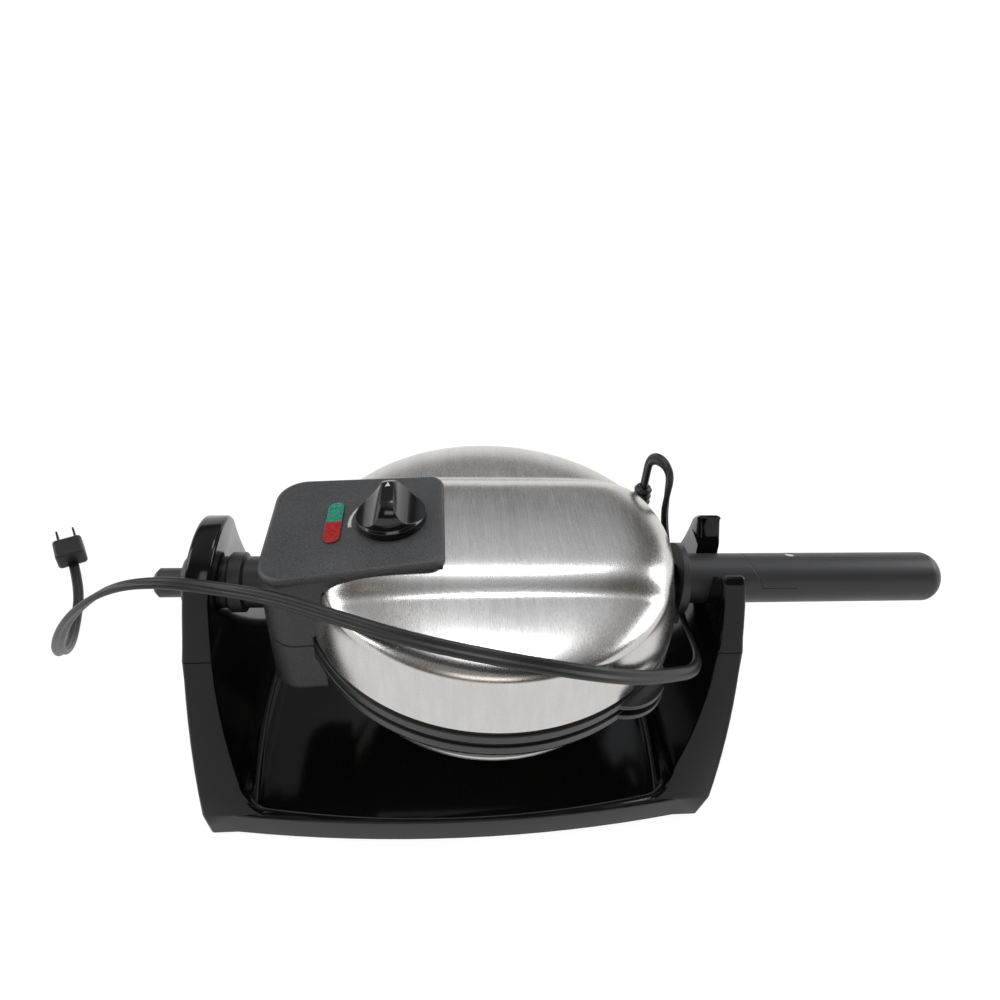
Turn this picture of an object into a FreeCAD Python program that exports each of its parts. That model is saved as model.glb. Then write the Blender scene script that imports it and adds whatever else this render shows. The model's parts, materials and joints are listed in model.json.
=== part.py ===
import FreeCAD, Part
import math
import os
from FreeCAD import Placement, Rotation, Vector

os.makedirs("parts", exist_ok=True)
doc = FreeCAD.newDocument("rotary_waffle_maker")

# Driving dimensions in millimetres. The grill centre is at x = 0, y = 0 and the table is at z = 0
DIMENSIONS = [
    ("axis_height", 127), ("foot_height", 2), ("base_left", 166.5), ("base_right", 131), ("base_half_depth", 80),
    ("base_bulge", 12), ("lip_height", 20), ("lip_wall", 4), ("floor_top", 12), ("floor_thick", 3), ("base_wall", 5),
    ("post_radius", 39), ("left_post_out", 165), ("left_post_thick", 14.5), ("left_belly", 6.3),
    ("right_post_out", 139), ("right_post_thick", 15), ("right_belly", 5.2), ("post_waist", 4.6), ("post_flare", 34),
    ("shell_radius", 108), ("shell_edge_up", 0.5), ("wall_lean", 5), ("lower_lean", 15.5), ("shell_wall_up", 26),
    ("shelf_inset", 21), ("shelf_up", 39.5), ("band_up", 45.5), ("band_flat", 35), ("band_half", 49),
    ("steel", 0.8), ("parting_down", 8.5), ("parting_gap", 0.6), ("rim_lip", 1), ("rim_wide", 10),
    ("rim_groove", 1.8), ("tab_out", 9), ("tab_round", 24), ("tab_thick", 3), ("tab_drop", 3.2), ("tab_angle", -46),
    ("grid_back_up", 6), ("grid_plate", 5), ("grid_lip", 10), ("peg_pitch", 19), ("peg_root", 11),
    ("peg_tip", 7), ("peg_tall", 7), ("heater_inset", 37), ("heater_tube", 3.3), ("reflector_up", 18),
    ("house_right", 29), ("house_over", 18), ("house_half_right", 40), ("house_half_left", 46),
    ("house_wall", 2.5), ("panel_up", 46.9), ("panel_slope", 5.5), ("window_up", 33),
    ("knob_x", -58.3), ("knob_radius", 19.5), ("knob_tall", 19), ("lens_x", -90), ("lens_wide", 8.8),
    ("lens_long", 35), ("hinge_inset", 10), ("hinge_up", 29), ("hinge_half", 22), ("knuckle_radius", 7.5),
    ("pin_radius", 3), ("hinge_drop", 45), ("shaft_radius", 15), ("shaft_ring", 17.5), ("running_fit", 0.08),
    ("cap_radius", 17), ("cap_thick", 4.5), ("cap_boss", 8.5), ("cap_boss_long", 22), ("collar_radius", 22),
    ("lid_swing", 3.4), ("collar_wide", 3.4), ("tube_radius", 15.3), ("stub_long", 68.8),
    ("fold_y", 5.8), ("fold_seam", 30), ("tongue_up", 4.5), ("tongue_end", 15),
    ("grip_long", 87.4), ("grip_wall", 3), ("relief_out", 9.5), ("relief_angle", 30), ("relief_radius", 5),
    ("relief_top", 27), ("cord_radius", 2.6), ("foot_radius", 9), ("screw_radius", 1.5),
]
sheet = doc.addObject("Spreadsheet::Sheet", "dims")
for row, (word, number) in enumerate(DIMENSIONS, start=1):
    sheet.set("A%d" % row, word)
    sheet.set("B%d" % row, str(number))
    sheet.setAlias("B%d" % row, word)
doc.recompute()


class Size:
    """A length that keeps its value and the expression that drives it."""

    def __init__(self, value, text):
        self.value = float(value)
        self.text = text

    def join(self, other, sign, swap=False):
        other = as_size(other)
        left, right = (other, self) if swap else (self, other)
        value = {"+": lambda a, b: a + b, "-": lambda a, b: a - b,
                 "*": lambda a, b: a * b, "/": lambda a, b: a / b}[sign](left.value, right.value)
        return Size(value, "(%s %s %s)" % (left.text, sign, right.text))

    def __add__(self, other):
        return self.join(other, "+")

    def __radd__(self, other):
        return self.join(other, "+", True)

    def __sub__(self, other):
        return self.join(other, "-")

    def __rsub__(self, other):
        return self.join(other, "-", True)

    def __mul__(self, other):
        return self.join(other, "*")

    def __rmul__(self, other):
        return self.join(other, "*", True)

    def __truediv__(self, other):
        return self.join(other, "/")

    def __neg__(self):
        return self.join(0, "-", True)


def as_size(item):
    return item if isinstance(item, Size) else Size(item, repr(float(item)))


def tangent(angle):
    return Size(math.tan(math.radians(angle.value)), "tan(%s * 1 deg)" % angle.text)


def dim(word):
    return Size(sheet.get(word), "dims." + word)


def bind(thing, prop, size):
    if isinstance(size, Size):
        thing.setExpression(prop, size.text)
    else:
        setattr(thing, prop, size)


def place(thing, x=0, y=0, z=0, rotation=None):
    corner = [as_size(v) for v in (x, y, z)]
    thing.Placement = Placement(Vector(*[c.value for c in corner]), rotation or Rotation())
    for axis, size in zip("xyz", corner):
        thing.setExpression("Placement.Base." + axis, size.text)
    return thing


def box(name, x0, x1, y0, y1, z0, z1):
    thing = doc.addObject("Part::Box", name)
    for prop, low, high in (("Length", x0, x1), ("Width", y0, y1), ("Height", z0, z1)):
        bind(thing, prop, as_size(high) - low)
    return place(thing, x0, y0, z0)


TURN = {"X": Rotation(Vector(0, 1, 0), 90), "Y": Rotation(Vector(1, 0, 0), -90), "Z": Rotation()}


def rod(name, axis, radius, start, end, u=0, v=0):
    thing = doc.addObject("Part::Cylinder", name)
    bind(thing, "Radius", as_size(radius))
    bind(thing, "Height", as_size(end) - start)
    spot = {"X": (start, u, v), "Y": (u, start, v), "Z": (u, v, start)}[axis]
    return place(thing, *spot, rotation=TURN[axis])


def cut(name, base, *tools):
    thing = doc.addObject("Part::Cut", name)
    thing.Base = base
    thing.Tool = tools[0] if len(tools) == 1 else fuse(name + "_tools", *tools)
    return thing


def fuse(name, *pieces):
    thing = doc.addObject("Part::MultiFuse", name)
    thing.Shapes = list(pieces)
    thing.Refine = True
    return thing


def common(name, *pieces):
    thing = doc.addObject("Part::MultiCommon", name)
    thing.Shapes = list(pieces)
    return thing


def group(name, *pieces):
    thing = doc.addObject("Part::Compound", name)
    thing.Links = list(pieces)
    return thing


def plane(owner, role):
    return [f for f in owner.Origin.OriginFeatures if f.Role == role][0]


def fix(sketch, index, position, size, vertical):
    size = as_size(size)
    if abs(size.value) < 1e-9:
        sketch.addConstraint(Part_constraint("PointOnObject", index, position, -1 if vertical else -2))
        return
    kind = "DistanceY" if vertical else "DistanceX"
    number = sketch.addConstraint(Part_constraint(kind, -1, 1, index, position, size.value))
    sketch.setExpression("Constraints[%d]" % number, size.text)


def Part_constraint(*items):
    import Sketcher
    return Sketcher.Constraint(*items)


def outline(sketch, corners, vias=None):
    """Closed outline through the corners. vias[i] is a point that edge i curves through."""
    vias = vias or {}
    spots = [Vector(as_size(x).value, as_size(y).value, 0) for x, y in corners]
    ends = []
    for i, start in enumerate(spots):
        finish = spots[(i + 1) % len(spots)]
        if i in vias:
            via = Vector(as_size(vias[i][0]).value, as_size(vias[i][1]).value, 0)
            edge = sketch.addGeometry(Part.Arc(start, via, finish), False)
            forward = (sketch.getPoint(edge, 1) - start).Length < 1e-6
            ends.append((edge, 1, 2) if forward else (edge, 2, 1))
        else:
            ends.append((sketch.addGeometry(Part.LineSegment(start, finish), False), 1, 2))
    for i, (edge, first, last) in enumerate(ends):
        following = ends[(i + 1) % len(ends)]
        sketch.addConstraint(Part_constraint("Coincident", edge, last, following[0], following[1]))
        fix(sketch, edge, first, corners[i][0], False)
        fix(sketch, edge, first, corners[i][1], True)
    for i in vias:
        via = [as_size(v) for v in vias[i]]
        dot = sketch.addGeometry(Part.Point(Vector(via[0].value, via[1].value, 0)), True)
        sketch.addConstraint(Part_constraint("PointOnObject", dot, 1, ends[i][0]))
        fix(sketch, dot, 1, via[0], False)
        fix(sketch, dot, 1, via[1], True)


def new_sketch(owner, name, role):
    sketch = owner.newObject("Sketcher::SketchObject", name)
    sketch.AttachmentSupport = [(plane(owner, role), "")]
    sketch.MapMode = "FlatFace"
    return sketch


def new_body(name):
    return doc.addObject("PartDesign::Body", name)


def turned(name, corners, vias=None):
    """Body turned about the Z axis from an outline of radius and height."""
    owner = new_body(name)
    sketch = new_sketch(owner, name + "_section", "XZ_Plane")
    outline(sketch, corners, vias)
    turn = owner.newObject("PartDesign::Revolution", name + "_turn")
    turn.Profile = sketch
    turn.ReferenceAxis = (sketch, ["V_Axis"])
    turn.Angle = 360.0
    sketch.Visibility = False
    doc.recompute()
    return owner


def padded(name, role, corners, length, vias=None, both=False, lift=None, rounds=()):
    """Body padded from an outline on one of its own origin planes, with corner rounds."""
    owner = new_body(name)
    sketch = new_sketch(owner, name + "_outline", role)
    if lift is not None:
        sketch.setExpression("AttachmentOffset.Base.z", as_size(lift).text)
    outline(sketch, corners, vias)
    pad = owner.newObject("PartDesign::Pad", name + "_pad")
    pad.Profile = sketch
    if both:
        pad.SideType = "Symmetric"
    bind(pad, "Length", as_size(length))
    doc.recompute()
    for step, (radius, chosen) in enumerate(rounds):
        before = owner.Tip
        names = ["Edge%d" % n for n, e in enumerate(before.Shape.Edges, 1) if chosen(e)]
        fillet = owner.newObject("PartDesign::Fillet", "%s_round%d" % (name, step))
        fillet.Base = (before, names)
        bind(fillet, "Radius", as_size(radius))
        doc.recompute()
    return owner


def upright(edge):
    ends = [v.Point for v in edge.Vertexes]
    return len(ends) == 2 and (ends[0] - ends[1]).Length > 1 and abs(ends[0].x - ends[1].x) < 1e-6 \
        and abs(ends[0].y - ends[1].y) < 1e-6


axis_z = dim("axis_height")
edge_up = dim("shell_edge_up")
parting = dim("parting_down")
half_gap = dim("parting_gap") / 2
wall = dim("house_wall")
slope = tangent(dim("panel_slope"))


# Sizes that follow the grill's radius
rim_r = dim("shell_radius") + dim("rim_lip")
grid_r = rim_r - dim("rim_wide")
cavity_r = grid_r - dim("grid_lip")
house_left = rim_r + dim("house_over")
hinge_x = -house_left + dim("hinge_inset")
collar_in = rim_r + dim("lid_swing")
collar_out = collar_in + dim("collar_wide")


def panel_z(x):
    return dim("panel_up") + axis_z + (as_size(x) - dim("knob_x")) * slope


# Base: floor tray with a raised lip, two posts and their bearings
left_x = -dim("base_left")
right_x = dim("base_right")
mid_x = (left_x + right_x) / 2
depth = dim("base_half_depth")
bulge = depth + dim("base_bulge")
low = dim("foot_height")
floor_height = sheet.get("floor_top")


def tray_plan(inset):
    x0, x1, y, crown = left_x + inset, right_x - inset, depth - inset, bulge - inset
    corners = [(x0, -y), (x1, -y), (x1, y), (x0, y)]
    return corners, {0: (mid_x, -crown), 2: (mid_x, crown)}


corners, vias = tray_plan(0)
slab = padded("floor_slab", "XY_Plane", corners, dim("lip_height") - low, vias, lift=low, rounds=[
    (4, upright), (1.2, lambda e: e.BoundBox.ZMin > 15 and e.BoundBox.ZMax < 25)])
lip = dim("lip_wall")
x0 = left_x + 26
x1 = right_x - 27
y0 = depth - lip
hollow_top = padded("floor_recess", "XY_Plane", [(x0, -y0), (x1, -y0), (x1, y0), (x0, y0)], 30,
                    {0: (mid_x, lip - bulge), 1: (x1 + 6, 0), 2: (mid_x, bulge - lip), 3: (x0 - 6, 0)},
                    lift=dim("floor_top"),
                    rounds=[(8, upright), (3, lambda e: e.BoundBox.ZMax < floor_height + 0.1)])
corners, vias = tray_plan(dim("base_wall"))
hollow_low = padded("floor_underside", "XY_Plane", corners, dim("floor_top") - dim("floor_thick"), vias,
                    rounds=[(3, upright)])


def post(name, side, foot, out, thick, belly):
    """Post seen from the front: bowed outside, hollow waist inside and a round flare into the lip."""
    top = axis_z + dim("post_radius") + 5
    inside = out - thick
    bend = foot - 20.5
    bend_z = axis_z * 0.3
    toe = foot - dim("post_flare")
    lip_z = dim("lip_height")
    shape = [(side * foot, low), (side * out, top), (side * inside, top), (side * bend, bend_z), (side * toe, lip_z),
             (side * toe, low)]
    bow = {0: (side * (out + belly), axis_z * 0.76), 2: (side * (inside + dim("post_waist")), axis_z * 0.8),
           3: (side * (bend - 4.5), lip_z + (bend_z - lip_z) * 0.36)}
    return padded(name + "_front", "XZ_Plane", shape, 4 * depth, bow, both=True)


left_front = post("left_post", -1, dim("base_left"), dim("left_post_out"), dim("left_post_thick"), dim("left_belly"))
right_front = post("right_post", 1, dim("base_right"), dim("right_post_out"), dim("right_post_thick"),
                   dim("right_belly"))

# Side taper of the posts: straight flanks that run on to the round top about the axis
ring = dim("post_radius")
flank = depth + 2.5
flank_z = dim("lip_height")
reach = math.hypot(flank.value, axis_z.value - flank_z.value)
lean = math.atan2(axis_z.value - flank_z.value, flank.value) - math.pi / 2 + math.acos(ring.value / reach)
touch_y = ring * math.cos(lean)
touch_z = axis_z + ring * math.sin(lean)
side_taper = padded("post_taper", "YZ_Plane", [(-flank, low), (flank, low), (flank, flank_z), (touch_y, touch_z),
                                               (-touch_y, touch_z), (-flank, flank_z)],
                    (dim("base_left") + dim("right_post_out")) * 3, {3: (0, axis_z + ring)}, both=True)
posts = common("posts", fuse("post_fronts", left_front, right_front), side_taper)
base_solid = cut("base_solid", fuse("base_whole", slab, posts), hollow_top)

bore = dim("shaft_radius") + dim("running_fit")
slot = dim("tube_radius") + dim("running_fit")
left_bore = rod("left_bore", "X", bore, -dim("left_post_out") - 30, -dim("left_post_out") + 40, 0, axis_z)
right_bore = rod("right_bore", "X", slot, dim("right_post_out") - 40, dim("right_post_out") + 30, 0, axis_z)
flare = dim("post_radius") + 8
right_slot = padded("right_slot", "YZ_Plane", [
    (-slot, axis_z), (slot, axis_z), (slot, axis_z + 20), (slot + 3, axis_z + 29), (slot + 3, axis_z + flare),
    (-flare, axis_z + flare), (-slot, axis_z + slot)], 70, lift=dim("right_post_out") - 40)
left_core = box("left_core", left_x + 4, left_x + 14, -50, 50, 0, axis_z * 0.33)
right_core = box("right_core", right_x - 13, right_x - 2, -50, 50, 0, axis_z * 0.33)
seam_z = axis_z - 16
seam_y = touch_y + (flank - touch_y) * ((touch_z.value - seam_z.value) / (touch_z.value - flank_z.value))
post_seam = box("post_seam", -250, 250, -150, 0.6 - seam_y, seam_z, seam_z + 0.6)
boss_spots = [(left_x + 40, -58), (left_x + 40, 58), (mid_x, -66), (mid_x, 66), (right_x - 40, -58), (right_x - 40, 58)]
floor_low = dim("floor_top") - dim("floor_thick")
bosses = [rod("boss%d" % n, "Z", 4.5, low + 3, floor_low + 0.5, x, y) for n, (x, y) in enumerate(boss_spots)]
pilots = [rod("pilot%d" % n, "Z", dim("screw_radius"), low + 2, floor_low + 1.5, x, y)
          for n, (x, y) in enumerate(boss_spots)]
opened = cut("base_opened", base_solid, left_bore, right_bore, right_slot, hollow_low, left_core, right_core, post_seam)
base_shell = cut("base_shell", fuse("base_bossed", opened, *bosses), *pilots)

corners, vias = tray_plan(dim("base_wall"))
plate_blank = padded("plate_blank", "XY_Plane", corners, 2.5, vias, lift=low + 0.5, rounds=[(8, upright)])
sinks = [rod("plate_hole%d" % n, "Z", dim("screw_radius"), low, low + 4, x, y) for n, (x, y) in enumerate(boss_spots)]
sinks += [rod("plate_sink%d" % n, "Z", 3, low, low + 1.8, x, y) for n, (x, y) in enumerate(boss_spots)]
foot_spots = [(left_x + 22, -62), (left_x + 22, 62), (right_x - 22, -62), (right_x - 22, 62)]
base_bottom_plate = cut("base_bottom_plate", plate_blank, *sinks)
rubber_feet = group("rubber_feet", *[rod("foot%d" % n, "Z", dim("foot_radius"), 0, low + 0.5, x, y)
                                     for n, (x, y) in enumerate(foot_spots)])
base_screws = group("base_screws", *[
    fuse("base_screw%d" % n, rod("base_head%d" % n, "Z", 3, low + 0.6, low + 1.8, x, y),
         rod("base_shank%d" % n, "Z", dim("screw_radius"), low + 0.6, floor_low + 1.2, x, y))
    for n, (x, y) in enumerate(boss_spots)])


# Grill halves: the lower half mirrors the lid about the parting plane
def height(up, lower):
    return axis_z - parting * 2 - up if lower else axis_z + up


def drum(name, lower, inset, top):
    """Turned half shell with a steep wall, round shoulder and flat top, shrunk by inset."""
    lean_in = dim("lower_lean") if lower else dim("wall_lean")
    side = dim("shell_radius") - lean_in - inset
    flat = side - (dim("shelf_inset") - dim("wall_lean")) + inset * 0.5
    crown = top - inset
    via = (flat + (side - flat) * 0.72, height(dim("shell_wall_up") + (crown - dim("shell_wall_up")) * 0.66, lower))
    spots = [(0, height(edge_up, lower)), (dim("shell_radius") - inset, height(edge_up, lower)),
             (side, height(dim("shell_wall_up"), lower)), (flat, height(crown, lower)), (0, height(crown, lower))]
    return turned(name, spots, {2: via})


def banded(name, lower, inset):
    """Half shell solid: the shelf drum joined to the raised band that runs along X."""
    top = dim("band_up") - inset
    half = dim("band_half") - inset
    flat = dim("band_flat")
    root = dim("shelf_up") - inset - 8
    via = (flat + (half - flat) * 0.62, height(top - (top - root) * 0.16, lower))
    corners = [(-half, height(edge_up, lower)), (half, height(edge_up, lower)), (half, height(root, lower)),
               (flat, height(top, lower)), (-flat, height(top, lower)), (-half, height(root, lower))]
    vias = {2: via, 4: (-via[0], via[1])}
    band = padded(name + "_bar", "YZ_Plane", corners, dim("shell_radius") * 2.4, vias, both=True)
    tall = drum(name + "_tall", lower, inset, dim("band_up"))
    return fuse(name, drum(name + "_shelf", lower, inset, dim("shelf_up")), common(name + "_band", band, tall))


lid_solid = banded("lid_solid", False, 0)
lid_core = banded("lid_core", False, dim("steel"))
lower_solid = banded("lower_solid", True, 0)
lower_core = banded("lower_core", True, dim("steel"))
lower_steel_shell = cut("lower_steel_shell", lower_solid, lower_core)


# Control housing on the lid and the lower hinge housing share one plan
def house_plan(inset):
    x0, x1 = -house_left + inset, -dim("house_right") - inset
    half0, half1 = dim("house_half_left") - inset, dim("house_half_right") - inset
    return [(x0, -half0), (x1, -half1), (x1, half1), (x0, half0)]


def left_corner(edge):
    return upright(edge) and edge.BoundBox.XMax < -100


def right_corner(edge):
    return upright(edge) and edge.BoundBox.XMin > -60


def house_prism(name, inset, low_z, high_z, rim=0):
    rounds = [(17 - inset, left_corner), (9 - inset, right_corner)]
    if rim:
        rounds.append((rim, lambda e: e.BoundBox.ZMin > as_size(high_z).value - 1))
    return padded(name, "XY_Plane", house_plan(inset), as_size(high_z) - low_z, lift=low_z, rounds=rounds)


def capped(name, inset, low_z, drop):
    """Housing prism cut off by the sloping panel plane."""
    prism = house_prism(name + "_prism", inset, low_z, axis_z + 70)
    lid = doc.addObject("Part::Box", name + "_above")
    lid.Length, lid.Width, lid.Height = 300, 200, 80
    place(lid, dim("knob_x") - 150, -100, panel_z(dim("knob_x") - 150) - drop)
    lid.Placement.Rotation = Rotation(Vector(0, 1, 0), -sheet.get("panel_slope"))
    return cut(name, prism, lid)


low_house = axis_z - 6
window = house_prism("window", 0, axis_z + dim("window_up"), axis_z + 80)
lid_below = common("lid_below", lid_solid, box("below_window", -200, 200, -200, 200, axis_z - 20,
                                               axis_z + dim("window_up")))
house_block = capped("house_block", 0, low_house, 0)
doc.recompute()
crown_edges = [(n, 3.5, 3.5) for n, e in enumerate(house_block.Shape.Edges, 1)
               if e.CenterOfMass.z > axis_z.value + 38 and not upright(e)]
house_round = doc.addObject("Part::Fillet", "house_round")
house_round.Base = house_block
house_round.Edges = crown_edges
house_hollow = capped("house_hollow", wall, low_house - 1, wall + 0.2)
hinge_z = axis_z + dim("hinge_up")
hinge_half = dim("hinge_half")
knuckle = [box("knuckle_%s" % side, -house_left + wall, hinge_x + dim("knuckle_radius"), y0, y1,
               hinge_z - dim("knuckle_radius"), axis_z + 45)
           for side, y0, y1 in (("front", -hinge_half - 6.5, -hinge_half - 0.8), ("back", hinge_half + 0.8, hinge_half + 6.5))]
knuckles = common("knuckles", fuse("knuckle_pair", *knuckle), house_block)
notch = box("shaft_notch", -house_left - 2, hinge_x + 12, -hinge_half - 0.5, hinge_half + 0.5,
            low_house - 2, panel_z(hinge_x - 12) - wall)
wedge = padded("wedge", "XZ_Plane", [(-house_left - 4, axis_z - 12), (hinge_x + 5, axis_z - 6.01),
                                     (-house_left - 4, axis_z - 3.5)], 200, both=True)
rim_below = rod("rim_below", "Z", rim_r, axis_z - parting * 3, axis_z + edge_up)
knob_x = dim("knob_x")
lens_x = dim("lens_x")
TILT = Rotation(Vector(0, 1, 0), -sheet.get("panel_slope"))


PANEL_SIN = Size(math.sin(math.radians(sheet.get("panel_slope"))), "sin(dims.panel_slope * 1 deg)")
PANEL_COS = Size(math.cos(math.radians(sheet.get("panel_slope"))), "cos(dims.panel_slope * 1 deg)")


def tilted(thing, x, drop=0, y=0):
    """Set a piece made about its own origin square to the sloping panel, drop below its face."""
    return place(thing, x + PANEL_SIN * drop, y, panel_z(x) - PANEL_COS * drop, rotation=TILT)


pill = dim("lens_wide") / 2
half_lens = dim("lens_long") / 2 - pill


def pill_plan(inset):
    r = pill - inset
    return [(r, -half_lens), (r, half_lens), (-r, half_lens), (-r, -half_lens)], \
        {1: (0, half_lens + r), 3: (0, -half_lens - r)}


corners, vias = pill_plan(0)
lens_hole = tilted(padded("lens_hole", "XY_Plane", corners, 12, vias, both=True), lens_x)
stem_hole = doc.addObject("Part::Cylinder", "stem_hole")
stem_hole.Radius, stem_hole.Height = 4.5, 40
tilted(stem_hole, knob_x, 20)
pin_hole = rod("pin_hole", "Y", dim("pin_radius") + 0.05, -60, 60, hinge_x, hinge_z)
house_skin = cut("house_skin", house_round, house_hollow, lid_below, rim_below, wedge)
control_housing = cut("control_housing", fuse("house_with_knuckles", house_skin, knuckles), notch, lens_hole,
                      stem_hole, pin_hole)
lid_steel_shell = cut("lid_steel_shell", lid_solid, lid_core, window)


def half_lens_piece(name, y0, y1):
    corners, vias = pill_plan(0)
    blank = padded(name + "_pill", "XY_Plane", corners, 5, vias)
    part = common(name + "_half", blank, box(name + "_side", -20, 20, y0, y1, 0, 5))
    return tilted(part, lens_x, 4.2)


ready_light_lens = half_lens_piece("ready_light_lens", 0.2, 40)
power_light_lens = half_lens_piece("power_light_lens", -40, -0.2)
ready_light_lens.Label = "ready_light_lens"
power_light_lens.Label = "power_light_lens"


def lamp(name, y):
    thing = doc.addObject("Part::Cylinder", name)
    thing.Radius, thing.Height = 3, 9
    return tilted(thing, lens_x, 4.2 + 9, y)


indicator_lamps = group("indicator_lamps", lamp("ready_lamp", 10), lamp("power_lamp", -10))


# Rims with their lift tabs, grids, heaters and reflectors
def rim(name, lower):
    """Rim with a raised band between two grooves and a thin crescent tab to lift it by."""
    groove = rim_r - dim("rim_groove")
    band_low = 1.4 - parting
    steps = [(grid_r, half_gap - parting), (groove, half_gap - parting), (groove, band_low), (rim_r, band_low + 0.4),
             (rim_r, -2), (groove, -1.6), (groove, edge_up), (grid_r, edge_up)]
    ring_piece = turned(name + "_ring", [(x, height(z, lower)) for x, z in steps])
    near, far = height(-dim("tab_drop"), lower), height(-dim("tab_drop") - dim("tab_thick"), lower)
    start, end = (near, far) if lower else (far, near)
    blank = rod(name + "_tab", "Z", dim("tab_round"), start, end, rim_r + dim("tab_out") - dim("tab_round"), 0)
    tab = cut(name + "_crescent", blank, rod(name + "_tab_eye", "Z", grid_r + 2, start - 1, end + 1))
    tab.Placement = Placement(Vector(), Rotation(Vector(0, 0, 1), sheet.get("tab_angle")))
    pieces = [ring_piece, tab]
    if lower:
        z0 = height(edge_up, True)
        boss = padded(name + "_boss", "XY_Plane", [(grid_r + 2, -8), (rim_r + 17, -8), (rim_r + 17, 8), (grid_r + 2, 8)],
                      8, rounds=[(5, lambda e: upright(e) and e.BoundBox.XMin > rim_r.value)])
        place(boss, 0, 0, z0 + 0.6, rotation=Rotation(Vector(0, 0, 1), sheet.get("relief_angle")))
        pieces.append(boss)
    return fuse(name, *pieces)


def grid(name, lower):
    back = height(dim("grid_back_up"), lower)
    face = height(dim("grid_back_up") - dim("grid_plate"), lower)
    lip = height(half_gap - parting, lower)
    dish = turned(name + "_dish", [(0, back), (grid_r, back), (grid_r, lip),
                                   (cavity_r, lip), (cavity_r - 2, face), (0, face)])
    pegs = []
    pitch = sheet.get("peg_pitch")
    limit = cavity_r.value - sheet.get("peg_root") * 0.75 - 2
    wide, thin, tall = dim("peg_root"), dim("peg_tip"), dim("peg_tall")
    for i in range(-4, 5):
        for j in range(-4, 5):
            if math.hypot(i, j) * pitch < limit:
                peg = doc.addObject("Part::Wedge", "%s_peg_%d_%d" % (name, i + 4, j + 4))
                half, tip = wide / 2, thin / 2
                for prop, size in (("Xmin", -half), ("Xmax", half), ("Zmin", -half), ("Zmax", half), ("Ymin", Size(0, "0")),
                                   ("Ymax", tall + 1), ("X2min", -tip), ("X2max", tip), ("Z2min", -tip), ("Z2max", tip)):
                    bind(peg, prop, size)
                turn = Rotation(Vector(1, 0, 0), 90 if lower else -90)
                place(peg, dim("peg_pitch") * i, dim("peg_pitch") * j, face - 1 if lower else face + 1, rotation=turn)
                pegs.append(peg)
    return fuse(name, dish, *pegs)


def heater(name, lower):
    thing = doc.addObject("Part::Torus", name)
    bind(thing, "Radius1", grid_r - dim("heater_inset"))
    bind(thing, "Radius2", dim("heater_tube"))
    thing.Angle3 = 325
    up = dim("grid_back_up") + dim("heater_tube")
    return place(thing, 0, 0, height(up, lower), rotation=Rotation(Vector(0, 0, 1), 197.5))


def reflector(name, lower):
    foot = dim("grid_back_up")
    top = dim("reflector_up")
    skin = 0.8
    spots = [(grid_r - 1, foot), (grid_r - 1, foot + skin), (grid_r - 7, foot + skin),
             (grid_r - 15, top + skin), (16, top + skin), (16, top), (grid_r - 16, top), (grid_r - 8, foot)]
    return turned(name, [(x, height(z, lower)) for x, z in spots])


lid_rim = rim("lid_rim", False)
lower_rim = rim("lower_rim", True)
upper_grid = grid("upper_grid", False)
lower_grid = grid("lower_grid", True)
upper_heater = heater("upper_heater", False)
lower_heater = heater("lower_heater", True)
upper_reflector = reflector("upper_reflector", False)
lower_reflector = reflector("lower_reflector", True)
thermal_fuse = rod("thermal_fuse", "X", 3, 20, 38, 18, axis_z + dim("grid_back_up") + 3)

# Hinge at the left: bracket and housing on the lower half carry the pivot shaft
bracket_x0 = hinge_x - dim("knuckle_radius")
bracket_x1 = hinge_x + dim("knuckle_radius")
house_low = axis_z - dim("hinge_drop")
bracket_block = box("bracket_block", bracket_x0, bracket_x1, -hinge_half, hinge_half, house_low + wall, hinge_z)
bracket_eye = rod("bracket_eye", "Y", dim("knuckle_radius"), -hinge_half, hinge_half, hinge_x, hinge_z)
bracket_pin = rod("bracket_pin", "Y", dim("pin_radius"), -60, 60, hinge_x, hinge_z)
wire_way = rod("wire_way", "X", 8, bracket_x0 - 5, bracket_x1 + 5, 0, axis_z)
lower_clear = fuse("lower_clear", lower_solid, rod("lower_rim_clear", "Z", rim_r, axis_z - parting * 2 - edge_up,
                                                   axis_z - parting + 3))
hinge_bracket = cut("hinge_bracket", fuse("bracket_body", bracket_block, bracket_eye), bracket_pin, wire_way, lower_clear)
hinge_pin = rod("hinge_pin", "Y", dim("pin_radius"), -hinge_half - 6.5, hinge_half + 6.5, hinge_x, hinge_z)
low_outer = house_prism("low_outer", 0, house_low, axis_z - 6.6)
low_inner = house_prism("low_inner", wall, house_low + wall, axis_z)
low_edge = box("low_edge", -95, 0, -90, 90, 0, axis_z + 20)
shaft_notch_low = rod("shaft_notch_low", "X", dim("shaft_radius"), -160, bracket_x0, 0, axis_z)
low_round = doc.addObject("Part::Fillet", "low_round")
doc.recompute()
low_round.Base = low_outer
low_round.Edges = [(n, 6, 6) for n, e in enumerate(low_outer.Shape.Edges, 1)
                   if e.BoundBox.ZMax < house_low.value + 0.5]
lower_hinge_housing = cut("lower_hinge_housing", low_round, low_inner, low_edge, lower_clear, shaft_notch_low)
shaft_end = -dim("left_post_out") - dim("left_belly") - 0.4
ring_x = dim("left_post_thick") - dim("left_post_out") - 1.2


def spun_x(name, corners):
    """Body turned about the flip axis from an outline of place along X and radius."""
    owner = new_body(name)
    sketch = new_sketch(owner, name + "_section", "XZ_Plane")
    outline(sketch, corners)
    turn = owner.newObject("PartDesign::Revolution", name + "_turn")
    turn.Profile = sketch
    turn.ReferenceAxis = (sketch, ["H_Axis"])
    turn.Angle = 360.0
    return place(owner, 0, 0, axis_z)


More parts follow.
